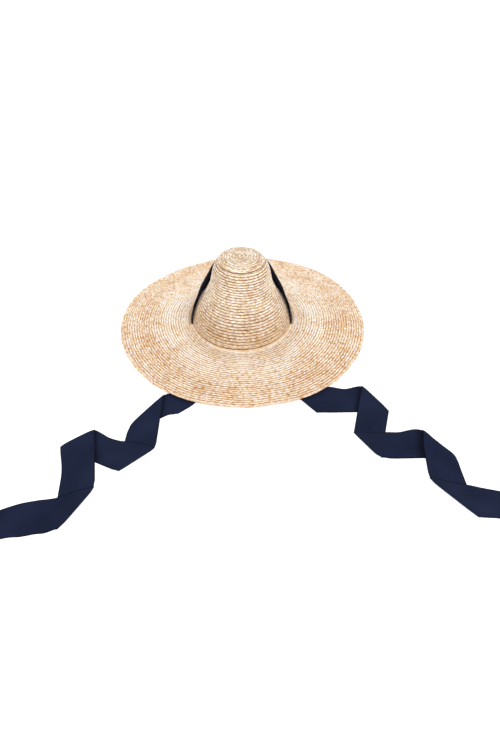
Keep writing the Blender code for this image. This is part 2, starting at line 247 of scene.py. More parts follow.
# how far a row wanders; how fast that changes round a turn, from turn to turn and from stretch
# to stretch; and the share of a stretch over which it starts and stops
WANDER = 0.0005
WANDER_ROUND, WANDER_PER_TURN, WANDER_START = 3, 0.9, 40
WANDER_EASE = 1 / 8
# small steps for finding a surface's direction
TURN_PROBE = 0.01
SIDE_PROBE = 0.0005


def spiral(surface, start, end, row, level_first=1, level_last=1):
    """Points along a spiral on a surface, each with the surface's outward direction."""
    turns = round((end - start) / row)
    steps = (turns + level_first + level_last) * STEPS_PER_TURN
    walk = []
    for k in range(steps + 1):
        turn = k / STEPS_PER_TURN
        azimuth = math.pi / 2 + 2 * math.pi * turn
        share = min(1.0, max(0.0, (turn - level_first) / turns))
        east, north = WANDER_ROUND * math.cos(azimuth), WANDER_ROUND * math.sin(azimuth)
        wander = noise.noise((east, north, WANDER_PER_TURN * turn + WANDER_START * start))
        ease = min(1.0, share / WANDER_EASE, (1 - share) / WANDER_EASE)
        distance = start + (end - start) * share + WANDER * wander * ease
        here = surface(azimuth, distance)
        ahead = surface(azimuth + TURN_PROBE, distance) - surface(azimuth - TURN_PROBE, distance)
        down = surface(azimuth, distance + SIDE_PROBE) - surface(azimuth, distance - SIDE_PROBE)
        walk.append((here, down.cross(ahead).normalized()))
    return walk


print("the crown's side holds about", round(CROWN_SIDE_LENGTH / CROWN_ROW), "rows of braid")

# %% [markdown]
# ## The braid itself
# The braid is a flat plait of straw splints, and each row laps over the next. It could be a bump
# on a smooth sheet, which is quick but leaves the rows' edges flat, or real splints plaited one by
# one, which would take millions of faces. A sweep lies between the two: one Geometry Nodes tree
# cuts the path into steps, one for each crossing of the plait, sweeps a lens-shaped section along
# it, tilts it for the lap, and raises and lowers the crossings. The rows really overlap, and the
# hat's underside gets its braid for nothing. A few helpers come first, because a tree that is
# written node by node gets long.

# %% A helper for node trees
def add(tree, kind, inputs=None, **settings):
    """Add a node to a tree, and fill in or link its inputs."""
    made = tree.nodes.new(kind)
    for name, value in settings.items():
        setattr(made, name, value)
    for key, value in (inputs or {}).items():
        if isinstance(value, bpy.types.NodeSocket):
            tree.links.new(value, made.inputs[key])
        else:
            made.inputs[key].default_value = value
    return made


def calculate(tree, operation, *values):
    """A math node's result."""
    return add(tree, "ShaderNodeMath", dict(enumerate(values)), operation=operation).outputs[0]


def vector(tree, operation, *values, result=0):
    """A vector math node's result."""
    inputs = dict(enumerate(values))
    if operation == "SCALE":
        inputs["Scale"] = inputs.pop(1)
    return add(tree, "ShaderNodeVectorMath", inputs, operation=operation).outputs[result]


def eased(tree, value, start, end, low=0.0, high=1.0, smooth=True):
    """A value that is low up to the start of a range and high from its end on."""
    return add(
        tree, "ShaderNodeMapRange",
        {"Value": value, "From Min": start, "From Max": end, "To Min": low, "To Max": high},
        interpolation_type="SMOOTHSTEP" if smooth else "LINEAR",
    ).outputs[0]

# %% [markdown]
# The section is the braid cut across: a lens with a fuller upper face. A squeezed Curve Circle
# would come close, but a short list of corners can put the thin edge just where the next row laps
# over it, and few corners keep the sweep light.

# %% The braid's section
BRAID_WIDTH = 0.0062
BRAID_THICKNESS = 0.0012
PLAIT_STEP = 0.0013
# (across, up) as shares of half the width and of half the thickness, once round the section
BRAID_SECTION = (
    (-1.00, 0.00), (-0.74, 0.72), (-0.37, 0.96), (0.00, 1.00), (0.37, 0.98), (0.74, 0.82),
    (0.93, 0.42), (1.00, -0.10), (0.80, -0.75), (0.30, -1.00), (-0.30, -1.00), (-0.80, -0.70),
)


def new_object(name, data):
    """A new object in the scene."""
    made = bpy.data.objects.new(name, data)
    bpy.context.collection.objects.link(made)
    return made


section_mesh = bpy.data.meshes.new("braid_section")
section_mesh.from_pydata(
    [(x * BRAID_WIDTH / 2, y * BRAID_THICKNESS / 2, 0.0) for x, y in BRAID_SECTION],
    [(k, (k + 1) % len(BRAID_SECTION)) for k in range(len(BRAID_SECTION))],
    [],
)
section_object = new_object("braid_section", section_mesh)
print("the braid's section has", len(BRAID_SECTION), "corners")

# %% [markdown]
# A swept mesh no longer knows the path that it came from. So what the tree has to remember, such
# as the braid's directions at each crossing, is stored on the path as named attributes, goes along
# with the sweep, and is read again afterwards.

# %% Helpers for named attributes
def named(tree, name, kind="FLOAT_VECTOR"):
    """Read a named attribute."""
    return add(tree, "GeometryNodeInputNamedAttribute", {"Name": name}, data_type=kind).outputs[0]


def store(tree, geometry, name, value, kind="FLOAT_VECTOR"):
    """Store a named attribute on points."""
    made = add(
        tree, "GeometryNodeStoreNamedAttribute",
        {"Geometry": geometry, "Name": name, "Value": value}, data_type=kind, domain="POINT",
    )
    return made.outputs[0]

# %% [markdown]
# A sweep has to know at each point which way is along, across and up. Blender can work out normals
# for a curve, but they know nothing of the hat. Here each point of the path brings the block's own
# outward direction, so the braid lies on the hat everywhere. The lap is a tilt of these
# directions, and the two ends taper off as a real braid's are tucked under.

# %% Give the path its frame
# the first turn's extra painted shade in its creases fades out between these lengths along the
# path
FIRST_TURN = (0.34, 0.25)


def frame_path(tree, given):
    """Cut the path into crossings, and store the braid's directions and size on them."""
    line = add(tree, "GeometryNodeMeshToCurve", {"Mesh": given["Path"]}).outputs[0]
    line = add(
        tree, "GeometryNodeResampleCurve",
        {"Curve": line, "Length": given["Plait step"]}, mode="LENGTH",
    ).outputs[0]
    along = tree.nodes.new("GeometryNodeInputTangent").outputs[0]
    up = vector(tree, "NORMALIZE", named(tree, "up"))
    across = vector(tree, "NORMALIZE", vector(tree, "CROSS_PRODUCT", along, up))
    up = vector(tree, "CROSS_PRODUCT", across, along)
    lean, reach = calculate(tree, "SINE", given["Lap"]), calculate(tree, "COSINE", given["Lap"])
    tilted_across = vector(
        tree, "ADD", vector(tree, "SCALE", across, reach), vector(tree, "SCALE", up, lean)
    )
    tilted_up = vector(
        tree, "SUBTRACT", vector(tree, "SCALE", up, reach), vector(tree, "SCALE", across, lean)
    )
    here = tree.nodes.new("GeometryNodeSplineParameter").outputs
    whole = tree.nodes.new("GeometryNodeSplineLength").outputs
    last = calculate(tree, "SUBTRACT", whole["Point Count"], 1.0)
    number = calculate(tree, "MULTIPLY", here["Factor"], last)
    from_start = here["Length"]
    to_end = calculate(tree, "SUBTRACT", whole["Length"], from_start)
    size = calculate(
        tree, "MINIMUM",
        eased(tree, from_start, 0.0, given["Taper"], given["Start size"]),
        eased(tree, to_end, 0.0, given["Taper"], given["End size"]),
    )
    # how dark the painted shade between rows is, and darker still along the first turn
    first = eased(tree, from_start, *FIRST_TURN)
    crease = calculate(tree, "MULTIPLY_ADD", first, given["First turn crease"], given["Crease"])
    line = store(tree, line, "centre", tree.nodes.new("GeometryNodeInputPosition").outputs[0])
    line = store(tree, line, "across", vector(tree, "SCALE", tilted_across, size))
    line = store(tree, line, "raised", vector(tree, "SCALE", tilted_up, size))
    line = store(tree, line, "crossing", number, "FLOAT")
    return store(tree, line, "crease", crease, "FLOAT")

# %% [markdown]
# In a plait each crossing stands a little higher than the places beside it. A material's
# Displacement could show that, but only in Blender. So the points themselves are moved after the
# sweep: one wave along the braid times one wave across it gives the plait's checkered relief. The
# attributes that were needed for it are then removed, all but the plait's own coordinates.

# %% Sweep the section and press the plait
def press_plait(tree, given, line):
    """Sweep the section along the path, then raise and lower the crossings."""
    shape = add(tree, "GeometryNodeObjectInfo", {"Object": given["Section"]})
    ring = add(tree, "GeometryNodeMeshToCurve", {"Mesh": shape.outputs["Geometry"]}).outputs[0]
    ring = store(tree, ring, "section", tree.nodes.new("GeometryNodeInputPosition").outputs[0])
    swept = add(
        tree, "GeometryNodeCurveToMesh", {"Curve": line, "Profile Curve": ring, "Fill Caps": True}
    ).outputs[0]
    out, high, _ = add(tree, "ShaderNodeSeparateXYZ", {0: named(tree, "section")}).outputs
    number = named(tree, "crossing", "FLOAT")
    place = calculate(tree, "DIVIDE", out, given["Plait step"])
    waves = [
        calculate(tree, "COSINE", calculate(tree, "MULTIPLY", value, math.pi))
        for value in (number, place)
    ]
    wave = calculate(tree, "MULTIPLY", *waves)
    relief = calculate(tree, "MULTIPLY", wave, given["Plait relief"])
    height = calculate(tree, "MULTIPLY_ADD", relief, calculate(tree, "SIGN", high), high)
    position = vector(
        tree, "ADD", named(tree, "centre"),
        vector(tree, "ADD",
               vector(tree, "SCALE", named(tree, "across"), out),
               vector(tree, "SCALE", named(tree, "raised"), height)),
    )
    swept = add(
        tree, "GeometryNodeSetPosition", {"Geometry": swept, "Position": position}
    ).outputs[0]
    # the plait's third value carries how dark the painted shade between rows is
    plait = {0: number, 1: place, 2: named(tree, "crease", "FLOAT")}
    swept = store(tree, swept, "plait", add(tree, "ShaderNodeCombineXYZ", plait).outputs[0])
    for name in ("centre", "across", "raised", "crossing", "crease", "section", "up"):
        swept = add(
            tree, "GeometryNodeRemoveAttribute", {"Geometry": swept, "Name": name}
        ).outputs[0]
    return swept

# %% [markdown]
# The tree's sizes are its inputs, so that one tree lays the tip, the side and the brim, each with
# its own lap and its own strength of painted shade in its creases. Copies of the tree could be
# changed by hand instead, but then a correction would have to be made in each. It ends in Realize
# Instances and Set Material, so a plain mesh with its finish comes out.

# %% The tree that lays braid
PLAIT_RELIEF = 0.00020
LAP = 0.24
TAPER = 0.03
END_SIZE = 0.35


def braid_tree():
    """Sweep a plaited braid along a path that carries its own outward direction."""
    tree = bpy.data.node_groups.new("lay_braid", "GeometryNodeTree")
    for name, kind, value in (
        ("Path", "Geometry", None), ("Section", "Object", None), ("Straw", "Material", None),
        ("Plait step", "Float", PLAIT_STEP), ("Plait relief", "Float", PLAIT_RELIEF),
        ("Lap", "Float", LAP), ("Taper", "Float", TAPER),
        # Crease sets how dark the painted shade between rows is, and First turn crease adds to it
        ("Crease", "Float", 1.0), ("First turn crease", "Float", 0.0),
        ("Start size", "Float", END_SIZE), ("End size", "Float", END_SIZE),
    ):
        socket = tree.interface.new_socket(name, in_out="INPUT", socket_type="NodeSocket" + kind)
        if value is not None:
            socket.default_value = value
    tree.interface.new_socket("Braid", in_out="OUTPUT", socket_type="NodeSocketGeometry")
    given = tree.nodes.new("NodeGroupInput").outputs
    swept = press_plait(tree, given, frame_path(tree, given))
    swept = add(tree, "GeometryNodeRealizeInstances", {"Geometry": swept}).outputs[0]
    swept = add(
        tree, "GeometryNodeSetMaterial", {"Geometry": swept, "Material": given["Straw"]}
    ).outputs[0]
    tree.links.new(swept, tree.nodes.new("NodeGroupOutput").inputs["Braid"])
    return tree


BRAID_TREE = braid_tree()
print("the braid's tree has", len(BRAID_TREE.nodes), "nodes")

# %% [markdown]
# ## The straw's finish
# Each diamond of a plait is one splint of straw passing over another, and no two splints have
# quite the same gold. An image texture would repeat and stretch. The finish finds the diamond from
# the plait's own coordinates instead, works out which splint lies on top, and gives every splint
# its own shade. It starts with helpers for ramps, random numbers and noise.

# %% Colour ramps and random shades
WHITE = (1.0, 1.0, 1.0)


def ramp(tree, value, *stops):
    """A colour ramp's colour: each stop is a place and a colour."""
    made = add(tree, "ShaderNodeValToRGB", {0: value})
    elements = made.color_ramp.elements
    while len(elements) < len(stops):
        elements.new(0.5)
    for element, (place, colour) in zip(elements, stops):
        element.position = place
        element.color = (*colour, 1.0)
    return made.outputs[0]


def random_shade(tree, cell):
    """A random number for each whole-numbered cell."""
    return add(tree, "ShaderNodeTexWhiteNoise", {"Vector": cell}, noise_dimensions="2D").outputs[0]


def mottle(tree, place, scale, detail):
    """A noise texture's outputs."""
    inputs = {"Vector": place, "Scale": scale, "Detail": detail}
    return add(tree, "ShaderNodeTexNoise", inputs).outputs


def new_finish(name, values):
    """A new material, its tree and its shader's inputs, with the values that are even all over."""
    material = bpy.data.materials.new(name)
    material.use_nodes = True
    shader = material.node_tree.nodes["Principled BSDF"].inputs
    for key, value in values.items():
        shader[key].default_value = value
    return material, material.node_tree, shader

# %% [markdown]
# Along its diagonals a plait is a checkerboard. The two diagonal coordinates, rounded, say which
# square a place is in, and whether their sum is odd or even says which of the two splints is on
# top there. What the rounding takes away is the place on the splint. A Checker Texture knows the
# squares too, but it can't tell one splint from the next.

# %% Which splint lies on top
def splints(tree, u, v):
    """The crossing's cell, the splint on top of it, and how far off its middle a place is."""
    a = calculate(tree, "MULTIPLY", calculate(tree, "ADD", u, v), 0.5)
    b = calculate(tree, "MULTIPLY", calculate(tree, "SUBTRACT", u, v), 0.5)
    cell_a, cell_b = calculate(tree, "ROUND", a), calculate(tree, "ROUND", b)
    off_a, off_b = calculate(tree, "SUBTRACT", a, cell_a), calculate(tree, "SUBTRACT", b, cell_b)
    other = calculate(tree, "FLOORED_MODULO", calculate(tree, "ADD", cell_a, cell_b), 2.0)

    def choose(first, second):
        mixed = add(tree, "ShaderNodeMix", {"Factor": other, "A": first, "B": second})
        return mixed.outputs["Result"]

    cell = add(tree, "ShaderNodeCombineXYZ", {0: cell_a, 1: cell_b}).outputs[0]
    splint = add(tree, "ShaderNodeCombineXYZ", {0: choose(cell_a, cell_b), 1: other}).outputs[0]
    return cell, splint, choose(off_a, off_b), choose(off_b, off_a)

# %% [markdown]
# Some straw is bleached and some has ripened longer. Noise alone would look like clouds, and
# random numbers alone like confetti. A real hat has something of both, so the tone adds up slow
# bundles, streaks along the rows, whole splints and single crossings, each with its share. Two
# more slow changes move the hue, from golden to ashen and from pink to green.

# %% How pale and how ripe the straw is
# what counts how much in the straw's tone
SPLINT_SHARE, FLECK_SHARE, STREAK_SHARE, BUNDLE_SHARE = 0.25, 0.15, 0.60, 0.60
STREAK_STRETCH = (0.22, 0.85, 1.0)
STREAK_CONTRAST, STREAK_SHIFT = 4.4, -1.70
BUNDLE_SCALE = 45.0
RIPE_FLECK = 0.12
TONE_SHIFT = -0.28
# painted light: the brim's rows near the crown are made paler between these heights
PAINTED_LIGHT_HEIGHTS = (0.011, 0.015)


def straw_tone(tree, plait, cell, splint, place, height, painted_light):
    """The straw's tone, from dark to pale, and its two slow changes of hue."""
    fleck = random_shade(tree, cell)
    grain = mottle(tree, vector(tree, "MULTIPLY", plait, STREAK_STRETCH), 1.0, 1.0)
    streak = calculate(tree, "MULTIPLY_ADD", grain["Fac"], STREAK_CONTRAST, STREAK_SHIFT)
    _, ripeness, blush = add(tree, "ShaderNodeSeparateColor", {0: grain["Color"]}).outputs
    ripeness = calculate(tree, "SUBTRACT", ripeness, RIPE_FLECK / 2)
    ripeness = calculate(tree, "MULTIPLY_ADD", fleck, RIPE_FLECK, ripeness)
    # painted light: the straw's tone is raised, so it is paler, above the first of these heights
    tone = eased(tree, height, *PAINTED_LIGHT_HEIGHTS, TONE_SHIFT, painted_light + TONE_SHIFT, smooth=False)
    for part, share in (
        (mottle(tree, place, BUNDLE_SCALE, 1.0)[0], BUNDLE_SHARE),
        (random_shade(tree, splint), SPLINT_SHARE),
        (fleck, FLECK_SHARE), (streak, STREAK_SHARE),
    ):
        tone = calculate(tree, "MULTIPLY_ADD", part, share, tone)
    return tone, ripeness, blush

# %% [markdown]
# Little light gets into the groove where one row goes under the next. The render finds part of
# that shade, but these grooves are less than a millimetre deep, so painted shade darkens them too.
# Each splint is also rounded and glossy. Rounded faces would be too many, and a little bump does
# as well: it breaks the gloss into glints.

# %% Shadow between the rows, and rounded splints
# painted shade lies where the row's inner edge goes under the next row, and on its free outer
# edge: places across it
INNER_EDGE = (-1.2, 0.3)
OUTER_EDGE = (2.4, 1.7)
OUTER_LIGHT = 0.25
# the painted shade in the creases darkens towards the tip between these heights
TIP_HEIGHTS = (0.080, 0.115)
ROUND_TOP, DIP = 3.0, 1.2


def between_rows(tree, v, crease, height, tip_crease_shade):
    """How deep in the shadow between two rows a place across the braid is."""
    inner = eased(tree, v, *INNER_EDGE)
    outer = eased(tree, v, *OUTER_EDGE, OUTER_LIGHT, 1.0, smooth=False)
    hidden = calculate(tree, "SUBTRACT", 1.0, calculate(tree, "MULTIPLY", inner, outer))
    near_tip = eased(tree, height, *TIP_HEIGHTS, 1.0, tip_crease_shade, smooth=False)
    return calculate(tree, "MULTIPLY", hidden, calculate(tree, "MULTIPLY", crease, near_tip))


def splint_bump(tree, *offsets):
    """A bump that rounds each splint across and dips it at its two ends."""
    squares = [
        calculate(tree, "POWER", calculate(tree, "ABSOLUTE", off), 2.0) for off in offsets
    ]
    falls = [calculate(tree, "MULTIPLY", *pair) for pair in zip(squares, (ROUND_TOP, DIP))]
    relief = calculate(tree, "SUBTRACT", 1.0, calculate(tree, "ADD", *falls))
    return add(tree, "ShaderNodeBump", {"Height": relief, "Strength": 0.5, "Distance": 0.0004})

# %% [markdown]
# Here the finish is put together. The tints could be mixed in one after the other with many Mix
# nodes, but when each only multiplies the ramp's colour, any of them can be changed or left out on
# its own. The brim and the crown get one each from the same function, because the crown's straw is
# a little greyer. A browner tint is painted shade: on the crown it grows towards the foot, with
# the warm light that the brim bounces up, and on the brim it lies in the hollow at the crown's
# foot.

# %% Straw
GOLDEN, ASHEN = (1.0, 0.92, 0.69), (0.95, 0.99, 1.12)
PINK, GREENISH = (1.02, 0.95, 1.0), (0.98, 1.04, 0.97)
# where the ramps' colours stand
TONE_STOPS, RIPE_STOPS, BLUSH_STOPS = (0.10, 0.45, 0.85), (0.36, 0.64), (0.37, 0.63)
ROW_SHADOW = (0.42, 0.28, 0.18)


def straw_finish(name, pale, middle, dark, low, shade_heights, tip_crease_shade=1.0, painted_light=0.0):
    """Plaited straw in three shades, with a browner painted shade that fades in over two heights.
    """
    material, tree, shader = new_finish(name, {"Roughness": 0.48, "Specular IOR Level": 0.45})
    plait = add(tree, "ShaderNodeAttribute", attribute_name="plait").outputs["Vector"]
    u, v, crease = add(tree, "ShaderNodeSeparateXYZ", {0: plait}).outputs
    place = tree.nodes.new("ShaderNodeTexCoord").outputs["Object"]
    height = add(tree, "ShaderNodeSeparateXYZ", {0: place}).outputs[2]
    cell, splint, side_to_side, end_to_end = splints(tree, u, v)
    tone, ripeness, blush = straw_tone(tree, plait, cell, splint, place, height, painted_light)
    foot_shade = eased(tree, height, *shade_heights)
    shadow = between_rows(tree, v, crease, height, tip_crease_shade)
    colour = ramp(tree, tone, *zip(TONE_STOPS, (dark, middle, pale)))
    for tint in (
        ramp(tree, ripeness, *zip(RIPE_STOPS, (GOLDEN, ASHEN))),
        ramp(tree, blush, *zip(BLUSH_STOPS, (PINK, GREENISH))),
        # painted shade and warm bounce light: the colour turns browner over the given heights
        ramp(tree, foot_shade, (0.0, WHITE), (1.0, low)),
        ramp(tree, shadow, (0.0, WHITE), (1.0, ROW_SHADOW)),
    ):
        colour = vector(tree, "MULTIPLY", colour, tint)
    tree.links.new(colour, shader["Base Color"])
    tree.links.new(splint_bump(tree, side_to_side, end_to_end).outputs[0], shader["Normal"])
    return material


# the brim: painted shade browns its fillet at the crown's foot, and painted light pales its rows
# near the crown
BRIM_STRAW = straw_finish(
    "straw_brim", (1.00, 0.95, 0.89), (0.84, 0.585, 0.37), (0.58, 0.31, 0.125),
    low=(0.76, 0.63, 0.50), shade_heights=(0.0156, 0.0169), painted_light=0.22,
)
# the crown: painted shade and warm bounce light brown it towards its foot, and its crease shade
# darkens near the tip
CROWN_STRAW = straw_finish(
    "straw_crown", (0.99, 0.93, 0.86), (0.75, 0.585, 0.43), (0.525, 0.355, 0.215),
    low=(0.79, 0.68, 0.56), shade_heights=(0.085, 0.020), tip_crease_shade=2.0,
)
print("finishes made:", BRIM_STRAW.name, CROWN_STRAW.name)

# %% [markdown]
# A modifier's inputs are set by their identifiers before the object is first evaluated. The
# evaluated result is then copied to a plain mesh, and the path with its modifier is removed. The
# modifier could stay live, but a plain mesh is the same wherever it is opened.

# %% Lay one stretch of braid
BRAID_SINK = 0.0006


def lay_braid(name, walk, material, sink=BRAID_SINK, **settings):
    """A stretch of braid as a plain mesh, its crest just on the blocked shape."""
    mesh = bpy.data.meshes.new(name + "_path")
    points = [AXIS + point - up * sink for point, up in walk]
    mesh.from_pydata(points, [(k, k + 1) for k in range(len(points) - 1)], [])
    up_values = mesh.attributes.new("up", "FLOAT_VECTOR", "POINT")
    up_values.data.foreach_set("vector", [value for _, up in walk for value in up])
    path = new_object(name + "_path", mesh)
    modifier = path.modifiers.new("lay braid", "NODES")
    modifier.node_group = BRAID_TREE
    sockets = {
        item.name: item.identifier for item in BRAID_TREE.interface.items_tree
        if item.in_out == "INPUT"
    }
    modifier[sockets["Section"]] = section_object
    modifier[sockets["Straw"]] = material
    for key, value in settings.items():
        modifier[sockets[key.replace("_", " ")]] = value
    depsgraph = bpy.context.evaluated_depsgraph_get()
    made = bpy.data.meshes.new_from_object(path.evaluated_get(depsgraph))
    bpy.data.objects.remove(path, do_unlink=True)
    made.name = name
    made.shade_smooth()
    piece = new_object(name, made)
    triangles = sum(len(face.vertices) - 2 for face in made.polygons)
    print(name, "has", triangles, "triangles")
    return piece

# %% [markdown]
# ## The crown
# The tip is a shallow dome with a spiral of its own, and a strong dark ring runs round below it.
# On the real hat the ring is a small step in the straw. So the side's first rows are sunk a
# millimetre behind the tip's last one, which shades them from all sides, and painted shade
# darkens the creases of their first turn strongly as well.

# %% Crown
TIP_START = 0.0010
TIP_EDGE = 0.0375
TIP_SINK = 0.0002
SIDE_START = TIP_EDGE + 0.0046
SIDE_END = CROWN_SIDE_LENGTH - 0.0026
RING_DEPTH = 0.0011
tip_walk = spiral(crown_surface, TIP_START, TIP_EDGE, CROWN_ROW, level_first=0)
tip = lay_braid(
    "crown_tip", tip_walk, CROWN_STRAW, sink=TIP_SINK, Crease=0.35, Lap=0.14, Start_size=1.0
)
side_walk = spiral(crown_surface, SIDE_START, SIDE_END, CROWN_ROW)
for k in range(2 * STEPS_PER_TURN):
    point, up = side_walk[k]
    side_walk[k] = (point - up * RING_DEPTH * (1 - smoothstep(k / STEPS_PER_TURN - 1)), up)
# painted shade: the creases of the first turn are darkened strongly, for the dark ring
crown_side = lay_braid("crown_side", side_walk, CROWN_STRAW, First_turn_crease=4.5)
for piece in (tip, crown_side):
    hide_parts("crown")
    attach(piece, "root")

# %% [markdown]
# ## The brim
# The brim goes on row after row from the crown's foot to the rim. One mesh could hold it all, but
# it would be too heavy to handle, so it is made in three zones. The braid runs on through them,
# and keeps its full width at the two joints, which lie at the back.

# %% Brim
BRIM_START = 0.0024
BRIM_END = BRIM_LENGTH - 0.0030
ZONE_ENDS = (0.44, 0.75)
brim_walk = spiral(brim_surface, BRIM_START, BRIM_END, BRIM_ROW)
turns = len(brim_walk) // STEPS_PER_TURN
cuts = [0, *(round(turns * end) * STEPS_PER_TURN for end in ZONE_ENDS), len(brim_walk) - 1]
for k, name in enumerate(("brim_inner", "brim_middle", "brim_outer")):
    piece = lay_braid(
        name, brim_walk[cuts[k]:cuts[k + 1] + 1], BRIM_STRAW, Crease=1.00, Lap=0.22,
        Start_size=END_SIZE if k == 0 else 1.0, End_size=END_SIZE if k == 2 else 1.0,
    )
    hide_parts("brim")
    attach(piece, "root")
bpy.data.objects.remove(section_object, do_unlink=True)

# %% [markdown]
# ## The ribbon's route
# One ribbon makes both ties and the band round the neck. A cloth simulation could drape it, but it
# would hardly come to rest just where the real one lies. So a short table says where its upper
# edge runs round the crown, how far it stands off the straw, and how it turns from climbing to
# lying level. It stands off most at the sides, where it bridges the hollow of the neck.

# %% Round the neck
RIBBON_WIDTH = 0.0510
RIBBON_LAYER = 0.0006
LAY_GAP = 0.0003
NECK_STAND_OFF = 0.0120
LANES = 16
NECK_ROWS = 150
TINY = 1e-9
# from the right slot to the back: (azimuth in degrees, height as a share of the crown's,
# distance off the crown as a share of NECK_STAND_OFF, turn in degrees: 0 climbing, 90 level)
NECK_ROUTE = (
    (-12.5, 0.000, 0.24, 0.0), (-8.4, 0.145, 0.52, 13.0), (-2.6, 0.300, 0.80, 27.0),
    (5.5, 0.425, 0.97, 41.0), (14.5, 0.520, 0.92, 51.0), (26.0, 0.615, 0.82, 60.0),
    (38.0, 0.700, 0.82, 68.0), (50.0, 0.755, 0.76, 76.0), (68.0, 0.790, 0.62, 84.0),
    (90.0, 0.800, 0.50, 90.0),
)


side_depth = [-h for _, h in side]


def radius_at(height):
    """The crown's outer radius at a height above its foot."""
    if height <= 0.0:
        return CROWN_HALF_WIDTH
    k = find(side_depth, -height)
    (r0, h0), (r1, h1) = side[k], side[k + 1]
    return r0 + (r1 - r0) * ((h0 - height) / max(h0 - h1, TINY))


def neck_row(t):
    """One cross-section of the ribbon round the neck: t is 0 at the right slot, 1 at the left."""
    half = 1.0 - abs(2.0 * t - 1.0)
    degrees, height, off, turn = read_smooth(NECK_ROUTE, half)
    azimuth, turn = math.radians(degrees), math.radians(turn)
    height *= CROWN_HEIGHT
    off *= NECK_STAND_OFF
    radius = radius_at(height) + off
    close = 2 * LAY_GAP + RIBBON_LAYER / 2
    low_azimuth = azimuth + RIBBON_WIDTH * math.cos(turn) / (radius + off)
    low_height = height - RIBBON_WIDTH * math.sin(turn)
    low_radius = radius_at(low_height) + close
    row = []
    for lane in range(LANES + 1):
        v = lane / LANES
        a = azimuth + (low_azimuth - azimuth) * v
        h = height + (low_height - height) * v
        r = max(radius_at(h) + close, radius + (low_radius - radius) * v)
        row.append(crown_ring(math.pi - a if t > 0.5 else a, r, h))
    return row


print("upper edge at the back:", tuple(round(v, 3) for v in neck_row(0.5)[0]))

# %% [markdown]
# ## The ties
# Below the slots the ribbon turns outwards under the brim and lies on the table in zigzag folds.
# Every corner could be drawn by hand, but a flat ribbon has a rule: it turns only over a crease
# midway between its two headings, and the later strip lies on the earlier one. So each tie is a
# list of headings and lengths, and the creases and the heights follow. Cloth isn't paper, though:
# a second table moves each fold's two corners a few millimetres, and a third one adds waves in the
# edges, the lift of one strip and worn corners.

# %% The ties' strips
DROP_RUN = 0.0110
TIE_STRIP = 0.1000
TIE_EMERGES = {"left": (248.2, -0.035), "right": (295.7, 0.14)}
# (heading in degrees, length as a share of TIE_STRIP), fold by fold
TIE_FOLDS = {
    "left": ((198.4, 0.735), (267.2, 1.035), (155.7, 1.015), (280.8, 1.270), (198.0, 1.970)),
    "right": ((3.2, 1.170), (255.4, 1.060), (1.6, 1.065), (269.9, 0.975), (347.0, 1.200)),
}
# where a strip starts to climb on to the one below it, and how far it climbs for, as shares of
# RIBBON_WIDTH
CLIMB_MARGIN, CLIMB_RUN = 0.15, 0.30
# how much higher the later strip stands at each fold, and over what run it settles
FOLD_LOFTS = {
    "left": (0.0011, 0.0011, 0.0014, 0.0015, 0.0020, 0.0030),
    "right": (0.0011, 0.0011, 0.0014, 0.0020, 0.0045, 0.0030),
}
LOFT_RUN = 0.026
# the strips that cast painted shade on the one below them, and how far the shade reaches
FOLD_SHADES = {"left": {3: 0.007, 5: 0.008}, "right": {3: 0.010, 5: 0.017}}
# how far a soft fold's left-hand and right-hand corners lie from where paper's would, in
# millimetres
PAPER = ((0, 0), (0, 0))
FOLD_CORNERS = {
    "left": (
        PAPER, ((0, 6), (-0.8, 2.4)), ((6.1, 4.0), (-2.0, 0.4)),
        ((1.1, 10.8), (2.7, -4.6)), ((0.9, 3.2), (1.8, 3.4)), ((-2.4, 2.2), (-3.6, -8.6)),
    ),
    "right": (
        PAPER, ((-0.6, -0.3), (0, 8)), ((0.8, 5.8), (-3.3, -4.0)),
        ((-0.4, 1.0), (4.1, 4.9)), ((4.5, 1.0), (-2.2, 0.2)), ((7.3, -3.7), (1.8, 1.6)),
    ),
}
# where an edge waves, a strip lifts or a corner is worn round: (place, move, reach) in
# millimetres
SLACK = (
    ((-86, -202), (10.5, 0.0, 0.0), 30), ((-112, -233), (-1.0, 3.4, 0.0), 18),
    ((-186, -275), (-2.8, -7.6, 0.0), 40), ((-261, -345), (3.2, 0.5, 0.0), 50),
    ((-256, -392), (0.0, -4.0, 0.0), 24), ((-305, -404), (0.0, 3.0, 0.0), 38),
    ((-276, -459), (-1.0, 2.6, 0.0), 22), ((-300, -467), (-1.0, 4.0, 0.0), 26),
    ((-322, -473), (-2.0, 5.5, 0.0), 34), ((166, -165), (0.0, -5.4, 0.0), 24),
    ((262, -270), (1.0, -2.0, 10.0), 30), ((300, -304), (0.0, -3.4, 0.0), 30),
    ((352, -432), (0.6, 3.5, 0.0), 30), ((-170, -253), (1.2, 0.8, 0.0), 10),
    ((-98, -229), (-1.0, 1.0, 0.0), 8), ((-127, -298), (-1.6, -0.4, 0.0), 9),
    ((-178, -345), (1.2, 1.4, 0.0), 9), ((-206, -371), (-1.6, -0.6, 0.0), 12),
    ((-246, -449), (0.4, 2.8, 0.0), 20), ((206, -320), (1.8, 2.0, 0.0), 14),
    ((316, -318), (-0.6, -0.6, 0.0), 12), ((269, -357), (1.2, 0.8, 0.0), 12),
)

# %% [markdown]
# The strips lie on each other like a loose pile of paper. They could be lifted one by one by hand,
# or dropped by a simulation. Here each strip knows the one before it instead: where the two
# overlap, it lies a layer higher, and it climbs there over a short, smooth slope, so that no layer
# cuts through another.

# %% Lay the strips out
def direction(degrees):
    """A direction on the floor."""
    return Vector((math.cos(math.radians(degrees)), math.sin(math.radians(degrees))))


